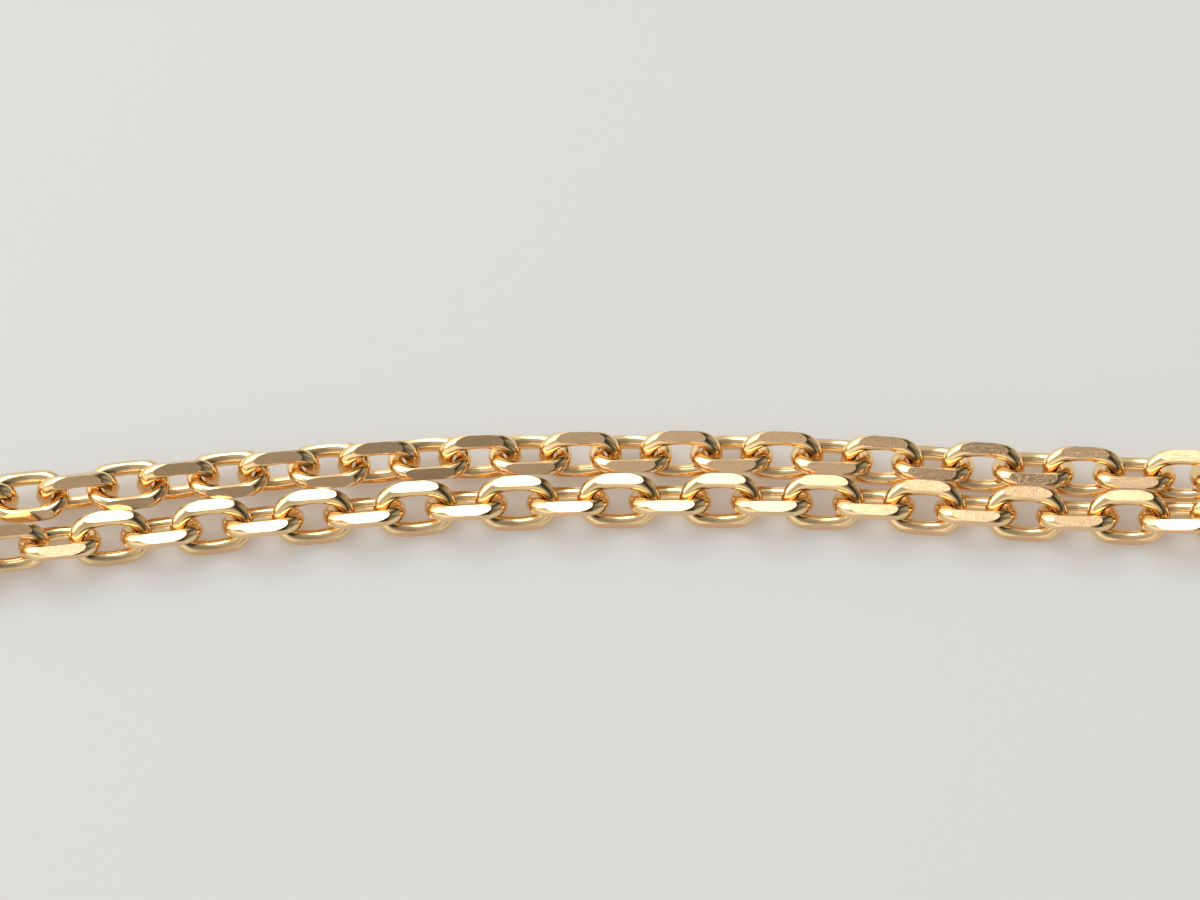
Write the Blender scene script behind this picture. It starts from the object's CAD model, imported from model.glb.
import math

import bpy
import bmesh
import numpy as np
from mathutils import Matrix, Quaternion, Vector


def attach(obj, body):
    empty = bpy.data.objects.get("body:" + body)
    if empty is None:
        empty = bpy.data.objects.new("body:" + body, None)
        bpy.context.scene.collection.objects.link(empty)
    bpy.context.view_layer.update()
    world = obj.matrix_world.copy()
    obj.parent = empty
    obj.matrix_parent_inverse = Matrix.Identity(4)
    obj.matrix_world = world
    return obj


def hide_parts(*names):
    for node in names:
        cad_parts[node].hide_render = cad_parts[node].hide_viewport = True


# A fine diamond-cut cable chain laid doubled, with a T-bar and a swivel clasp.
# The links are swept afresh on the frame's axes; the fittings are the frame's own
# solids with softened edges.  Lengths are in metres.

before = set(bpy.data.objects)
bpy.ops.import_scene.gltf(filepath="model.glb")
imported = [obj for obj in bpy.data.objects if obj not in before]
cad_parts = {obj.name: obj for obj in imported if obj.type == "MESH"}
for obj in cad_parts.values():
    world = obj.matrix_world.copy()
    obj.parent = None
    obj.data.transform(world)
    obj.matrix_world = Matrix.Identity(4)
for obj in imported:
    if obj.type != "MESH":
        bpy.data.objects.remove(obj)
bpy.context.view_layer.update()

MM = 0.001
WIRE = 0.62 * MM        # link wire
LIMBS = 1.69 * MM       # between limb centres
LINK = 3.26 * MM        # link over all
FLATS = 1.60 * MM       # across the diamond-cut flats
BOW = 3.0 * MM          # centre-line radius of the slightly bowed long limbs
VIEW_W = 46.39 * MM     # width the camera sees at the chain
X0, Y0 = -3.557 * MM, 1.932 * MM    # middle of the view, on the front run
ELEV = math.radians(63)             # the camera looks down at this angle
CAM_DIST = 0.36
RAISE = 1.97 * MM                   # middle of the view above the front run
SENSOR = 36                         # mm
DRIFT = 900                         # noise scale of the slow drift of colour
SPECKLE = 26000                     # noise scale of the cutter's speckle
BUMP = 0.001 * MM
FLOOR_SINK = 0.02 * MM              # the floor lies this far under the chain
SHADE = 2.2 * MM                    # reach of the warm shade on the floor


# ---------- small helpers ----------
def own_axes(node):
    """Centre and axes (long, wide, thin) of a node's solid, from its faces."""
    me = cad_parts[node].data
    me.calc_loop_triangles()
    co = np.array([v.co for v in me.vertices], float)
    tri = np.array([t.vertices for t in me.loop_triangles])
    a, b, c = co[tri[:, 0]], co[tri[:, 1]], co[tri[:, 2]]
    w = np.linalg.norm(np.cross(b - a, c - a), axis=1)
    m = (a + b + c) / 3
    mid = (m * w[:, None]).sum(0) / w.sum()
    q = m - mid
    cov = (q * w[:, None]).T @ q / w.sum()
    _, vec = np.linalg.eigh(cov)
    x, y = vec[:, 2], vec[:, 1]
    z = np.cross(x, y)
    rel = (co - mid) @ np.stack([x, y, z], 1)
    mid = mid + np.stack([x, y, z], 1) @ ((rel.max(0) + rel.min(0)) / 2)
    return Vector(mid), Matrix((x, y, z)).transposed()


def put(ob, mid, axes):
    ob.matrix_world = Matrix.Translation(mid) @ axes.to_4x4()


def show(name, me, body, nodes, mats, place=None):
    ob = bpy.data.objects.new(name, me)
    bpy.context.collection.objects.link(ob)
    if place:
        put(ob, *place)
    if not me.materials:
        for m in mats:
            me.materials.append(m)
    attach(ob, body)
    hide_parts(*nodes)
    return ob


def oval(length, width, d, bow, n):
    """Centre line of a link in the XY plane: two end arcs and two bowed limbs."""
    half = (length - d) / 2
    deep = bow - width / 2
    c = (deep ** 2 - (bow - half) ** 2) / (2 * (bow - half))
    r = half - c
    a = math.atan2(deep, c)
    arcs = [(c, 0, r, -a, a), (0, -deep, bow, a, math.pi - a),
            (-c, 0, r, math.pi - a, math.pi + a), (0, deep, bow, math.pi + a, 2 * math.pi - a)]
    total = sum(q[2] * (q[4] - q[3]) for q in arcs)
    pts = []
    for cx, cy, rad, a0, a1 in arcs:
        m = max(4, round(n * rad * (a1 - a0) / total))
        for k in range(m):
            t = a0 + (a1 - a0) * k / m
            pts.append((cx + rad * math.cos(t), cy + rad * math.sin(t),
                        (-math.sin(t), math.cos(t))))
    return pts


def wire_loop(bm, length, width, d, bow, n=120, m=40):
    """Round wire swept along the link's centre line."""
    rings = []
    for x, y, t in oval(length, width, d, bow, n):
        out = Vector((t[1], -t[0], 0))
        ring = []
        for j in range(m):
            a = 2 * math.pi * j / m
            rise = Vector((0, 0, d / 2 * math.sin(a)))
            ring.append(bm.verts.new(Vector((x, y, 0)) + out * (d / 2 * math.cos(a)) + rise))
        rings.append(ring)
    for r0, r1 in zip(rings, rings[1:] + rings[:1]):
        for j in range(m):
            bm.faces.new((r0[j], r0[(j + 1) % m], r1[(j + 1) % m], r1[j]))


def cut_flats(bm, half):
    """Diamond cut: trims the loop to a square bar turned 45 degrees, flats filled."""
    for ang in (45, 135, 225, 315):
        nrm = Vector((0, math.cos(math.radians(ang)), math.sin(math.radians(ang))))
        geom = list(bm.verts) + list(bm.edges) + list(bm.faces)
        res = bmesh.ops.bisect_plane(bm, geom=geom, dist=1e-9, plane_co=nrm * half,
                                     plane_no=nrm, clear_outer=True)
        edges = [e for e in res["geom_cut"] if isinstance(e, bmesh.types.BMEdge)]
        fill = bmesh.ops.contextual_create(bm, geom=edges)
        for f in fill["faces"]:
            f.material_index = 1
    bm.normal_update()
    bmesh.ops.recalc_face_normals(bm, faces=bm.faces)
    for f in bm.faces:
        f.smooth = f.material_index == 0
        if not f.smooth:
            for e in f.edges:
                e.smooth = False


def to_mesh(bm, name):
    me = bpy.data.meshes.new(name)
    bm.to_mesh(me)
    bm.free()
    return me


# ---------- materials ----------
def gold(name, base, rough, deep, fine, scratch, speck):
    """Polished gold with colour drift, fine wipe marks and, on the flats, cutter speckle.

    The colour drifts between base and deep.  rough is the smoothest finish, fine the
    noise scale of the wipe marks, scratch and speck the heights of marks and speckle.
    """
    mat = bpy.data.materials.new(name)
    mat.use_nodes = True
    nt = mat.node_tree
    N, L = nt.nodes, nt.links
    b = N["Principled BSDF"]
    b.inputs["Metallic"].default_value = 1.0
    co = N.new("ShaderNodeTexCoord")
    info = N.new("ShaderNodeObjectInfo")
    off = N.new("ShaderNodeVectorMath")
    off.operation = "SCALE"
    off.inputs[0].default_value = (0.37, 0.61, 0.29)
    L.new(info.outputs["Random"], off.inputs["Scale"])
    add = N.new("ShaderNodeVectorMath")
    add.operation = "ADD"
    L.new(co.outputs["Object"], add.inputs[0])
    L.new(off.outputs[0], add.inputs[1])
    # slow drift of colour, different on every piece
    n1 = N.new("ShaderNodeTexNoise")
    n1.inputs["Scale"].default_value = DRIFT
    n1.inputs["Detail"].default_value = 3
    L.new(add.outputs[0], n1.inputs["Vector"])
    mix = N.new("ShaderNodeMix")
    mix.data_type = "RGBA"
    mix.inputs[6].default_value = (*base, 1)
    mix.inputs[7].default_value = (*deep, 1)
    L.new(n1.outputs["Fac"], mix.inputs[0])
    L.new(mix.outputs[2], b.inputs["Base Color"])
    # fine marks, stretched along the link
    mp = N.new("ShaderNodeMapping")
    mp.inputs["Scale"].default_value = (0.25, 1.0, 1.0)
    L.new(add.outputs[0], mp.inputs["Vector"])
    n2 = N.new("ShaderNodeTexNoise")
    n2.inputs["Scale"].default_value = fine
    n2.inputs["Detail"].default_value = 4
    n2.inputs["Roughness"].default_value = 0.7
    L.new(mp.outputs[0], n2.inputs["Vector"])
    rr = N.new("ShaderNodeMapRange")
    rr.inputs["From Min"].default_value = 0.3
    rr.inputs["From Max"].default_value = 0.75
    rr.inputs["To Min"].default_value = rough
    rr.inputs["To Max"].default_value = rough * 2.2
    L.new(n2.outputs["Fac"], rr.inputs["Value"])
    L.new(rr.outputs[0], b.inputs["Roughness"])
    # speckle: sparse spots where the noise is high
    n3 = N.new("ShaderNodeTexNoise")
    n3.inputs["Scale"].default_value = SPECKLE
    n3.inputs["Detail"].default_value = 2
    L.new(add.outputs[0], n3.inputs["Vector"])
    sp = N.new("ShaderNodeMapRange")
    sp.inputs["From Min"].default_value = 0.57
    sp.inputs["From Max"].default_value = 0.66
    L.new(n3.outputs["Fac"], sp.inputs["Value"])
    ad = N.new("ShaderNodeMath")
    ad.operation = "MULTIPLY_ADD"
    L.new(sp.outputs[0], ad.inputs[0])
    ad.inputs[1].default_value = speck
    sc = N.new("ShaderNodeMath")
    sc.operation = "MULTIPLY"
    L.new(n2.outputs["Fac"], sc.inputs[0])
    sc.inputs[1].default_value = scratch
    L.new(sc.outputs[0], ad.inputs[2])
    bump = N.new("ShaderNodeBump")
    bump.inputs["Strength"].default_value = 1.0
    bump.inputs["Distance"].default_value = BUMP
    L.new(ad.outputs[0], bump.inputs["Height"])
    L.new(bump.outputs[0], b.inputs["Normal"])
    return mat


GOLD = (0.96, 0.72, 0.41)
DEEP = (0.93, 0.66, 0.34)
wire_mat = gold("gold_wire", GOLD, 0.09, DEEP, 5200, 2.0, 0.15)
flat_mat = gold("gold_flat", (0.97, 0.71, 0.43), 0.08, (0.94, 0.63, 0.36), 9000, 2.0, 1.4)
fit_mat = gold("gold_fittings", GOLD, 0.09, DEEP, 2600, 2.5, 0.1)
steel = gold("spring_steel", (0.60, 0.59, 0.56), 0.18, (0.5, 0.49, 0.46), 6000, 1.5, 0.2)

# ---------- links ----------
bm = bmesh.new()
wire_loop(bm, LINK, LIMBS, WIRE, BOW)
cut_flats(bm, FLATS / 2)
# the mesh keeps its flats square to its own axes, so that its box fits closely
eighth = Matrix.Rotation(math.radians(45), 3, "X")
bmesh.ops.rotate(bm, cent=(0, 0, 0), matrix=eighth, verts=bm.verts)
link_mesh = to_mesh(bm, "link_mesh")
for node in sorted(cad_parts):
    if node.startswith("link_"):
        mid, axes = own_axes(node)
        show("gold_" + node, link_mesh, node, [node], [wire_mat, flat_mat],
             (mid, axes @ eighth.inverted()))


# ---------- fittings ----------
def softened(node, body, mats, width):
    """The node's own solid, smooth, with its sharp edges rounded to width."""
    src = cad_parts[node].data
    bm = bmesh.new()
    bm.from_mesh(src)
    bmesh.ops.remove_doubles(bm, verts=bm.verts, dist=1e-7)
    bmesh.ops.dissolve_limit(bm, angle_limit=math.radians(1.0), verts=bm.verts, edges=bm.edges)
    for f in bm.faces:
        f.smooth = True
    me = to_mesh(bm, node + "_soft")
    me.materials.clear()
    ob = show("fit_" + node, me, body, [node], mats)
    mod = ob.modifiers.new("soft", "BEVEL")
    mod.width = width
    mod.segments = 3
    mod.limit_method = "ANGLE"
    mod.angle_limit = math.radians(38)
    mod.harden_normals = True


# node, body, slot, material, width of the softened edge in mm
for node, body, slot, mat, edge in [
        ("t_bar", "t_bar", "t_bar", fit_mat, 0.05),
        ("oval_ring", "oval_ring", "oval_ring", fit_mat, 0.04),
        ("swivel_bow", "swivel_bow", "swivel_bow", fit_mat, 0.06),
        ("hook_body", "hook", "hook", fit_mat, 0.14),
        ("gate", "gate", "hook", fit_mat, 0.09),
        ("gate_pin", "hook", "hook", fit_mat, 0.04),
        ("gate_spring", "hook", "spring", steel, 0.01)]:
    softened(node, body, [mat], edge * MM)

# ---------- table, light, camera ----------
def table(name, colour, glow, warm):
    """Pale cloth-like ground that glows a little, warmer where the gold stands close."""
    mat = bpy.data.materials.new(name)
    mat.use_nodes = True
    nt = mat.node_tree
    b = nt.nodes["Principled BSDF"]
    b.inputs["Base Color"].default_value = (*colour, 1)
    b.inputs["Roughness"].default_value = 0.9
    b.inputs["Specular IOR Level"].default_value = 0.2
    b.inputs["Emission Strength"].default_value = 1.0
    ao = nt.nodes.new("ShaderNodeAmbientOcclusion")
    ao.samples = 8
    ao.inputs["Distance"].default_value = SHADE
    mix = nt.nodes.new("ShaderNodeMix")
    mix.data_type = "RGBA"
    mix.inputs[6].default_value = (*warm, 1)
    mix.inputs[7].default_value = (*glow, 1)
    nt.links.new(ao.outputs["AO"], mix.inputs[0])
    nt.links.new(mix.outputs[2], b.inputs["Emission Color"])
    return mat


bpy.ops.mesh.primitive_plane_add(size=1.6, location=(0, 0, -FLOOR_SINK))
floor = bpy.context.object
floor.name = "floor"
floor.data.materials.append(
    table("table_ivory", (0.33, 0.34, 0.34), (0.40, 0.40, 0.385), (0.33, 0.22, 0.14)))


def panel(name, centre, aim, sx, sy, power):
    """A soft box: an area light facing the chain."""
    data = bpy.data.lights.new(name, "AREA")
    data.shape = "RECTANGLE"
    data.size, data.size_y = sx, sy
    data.energy = power
    ob = bpy.data.objects.new(name, data)
    bpy.context.collection.objects.link(ob)
    ob.location = centre
    ob.rotation_euler = (Vector(aim) - Vector(centre)).to_track_quat("-Z", "Y").to_euler()


def toward(az, el, dist):
    """Point seen from the chain at azimuth az (0 = +Y, 90 = +X) and elevation el."""
    a, e = math.radians(az), math.radians(el)
    return Vector((X0 + dist * math.sin(a) * math.cos(e),
                   Y0 + dist * math.cos(a) * math.cos(e), dist * math.sin(e)))


here = Vector((X0, Y0, 0.8 * MM))
# the main box lies behind the chain and to the left; it ends just right of the middle
aside = Vector((-0.157, 0, 0))
panel("soft_back", toward(0, 60, 0.34) + aside, here + aside, 0.34, 0.24, 0.58)
panel("soft_left", toward(-85, 35, 0.34), here, 0.20, 0.24, 0.25)


def ramp(nt, stops):
    """Colour ramp through grey values at the given places."""
    node = nt.nodes.new("ShaderNodeValToRGB")
    el = node.color_ramp.elements
    while len(el) < len(stops):
        el.new(0.5)
    for e, (at, v) in zip(el, stops):
        e.position = at
        e.color = (v, v, v, 1)
    return node


# the tent: pale all round, darker about the camera and toward the right
world = bpy.data.worlds.new("tent")
bpy.context.scene.world = world
world.use_nodes = True
nt = world.node_tree
bg = nt.nodes["Background"]
co = nt.nodes.new("ShaderNodeTexCoord")
sep = nt.nodes.new("ShaderNodeSeparateXYZ")
nt.links.new(co.outputs["Generated"], sep.inputs[0])
arc = nt.nodes.new("ShaderNodeMath")
arc.operation = "ARCTAN2"
nt.links.new(sep.outputs["Z"], arc.inputs[0])
nt.links.new(sep.outputs["Y"], arc.inputs[1])
turn = nt.nodes.new("ShaderNodeMath")
turn.operation = "DIVIDE"
turn.inputs[1].default_value = math.pi
nt.links.new(arc.outputs[0], turn.inputs[0])
# brightness by the angle over the top, from the back (0) to the front (180)
over = ramp(nt, [(a / 180, v) for a, v in
                 [(0, 0.90), (40, 0.95), (78, 0.95), (82, 0.80), (86, 0.27), (91, 0.27),
                  (94, 0.60), (101, 0.66), (105, 0.52), (110, 0.46), (113, 0.26),
                  (119, 0.28), (123, 0.54), (130, 0.54), (135, 0.40), (141, 0.44),
                  (147, 0.72), (156, 0.90), (180, 0.95)]])
nt.links.new(turn.outputs[0], over.inputs[0])
# brightness from the left (0) to the right (1)
to01 = nt.nodes.new("ShaderNodeMath")
to01.operation = "MULTIPLY_ADD"
to01.inputs[1].default_value = 0.5
to01.inputs[2].default_value = 0.5
nt.links.new(sep.outputs["X"], to01.inputs[0])
side = ramp(nt, [(0.0, 1.25), (0.3, 1.2), (0.45, 1.0), (0.505, 1.0), (0.514, 0.8), (0.522, 0.62),
                 (0.62, 0.58), (0.69, 0.10), (0.80, 0.06), (0.88, 0.35), (1.0, 0.45)])
nt.links.new(to01.outputs[0], side.inputs[0])
both = nt.nodes.new("ShaderNodeMix")
both.data_type = "RGBA"
both.blend_type = "MULTIPLY"
both.inputs[0].default_value = 1.0
nt.links.new(over.outputs[0], both.inputs[6])
nt.links.new(side.outputs[0], both.inputs[7])
tint = nt.nodes.new("ShaderNodeMix")
tint.data_type = "RGBA"
tint.blend_type = "MULTIPLY"
tint.inputs[0].default_value = 1.0
tint.inputs[7].default_value = (1.0, 0.96, 0.90, 1)
nt.links.new(both.outputs[2], tint.inputs[6])
nt.links.new(tint.outputs[2], bg.inputs["Color"])
bg.inputs["Strength"].default_value = 1.05

scene = bpy.context.scene
scene.view_settings.view_transform = "Standard"

cam_data = bpy.data.cameras.new("camera")
cam = bpy.data.objects.new("camera", cam_data)
bpy.context.collection.objects.link(cam)
up = Vector((0, math.sin(ELEV), math.cos(ELEV)))
back = Vector((0, -math.cos(ELEV), math.sin(ELEV)))
# the front run lies a little below the middle of the view
target = here + up * RAISE
cam.location = target + back * CAM_DIST
cam.rotation_mode = "QUATERNION"
roll = Quaternion((0, 0, 1), math.radians(-0.35))
cam.rotation_quaternion = (-back).to_track_quat("-Z", "Y") @ roll
cam_data.sensor_width = SENSOR
cam_data.lens = SENSOR * CAM_DIST / VIEW_W
cam_data.clip_start = 0.01
cam_data.clip_end = 5
scene.camera = cam
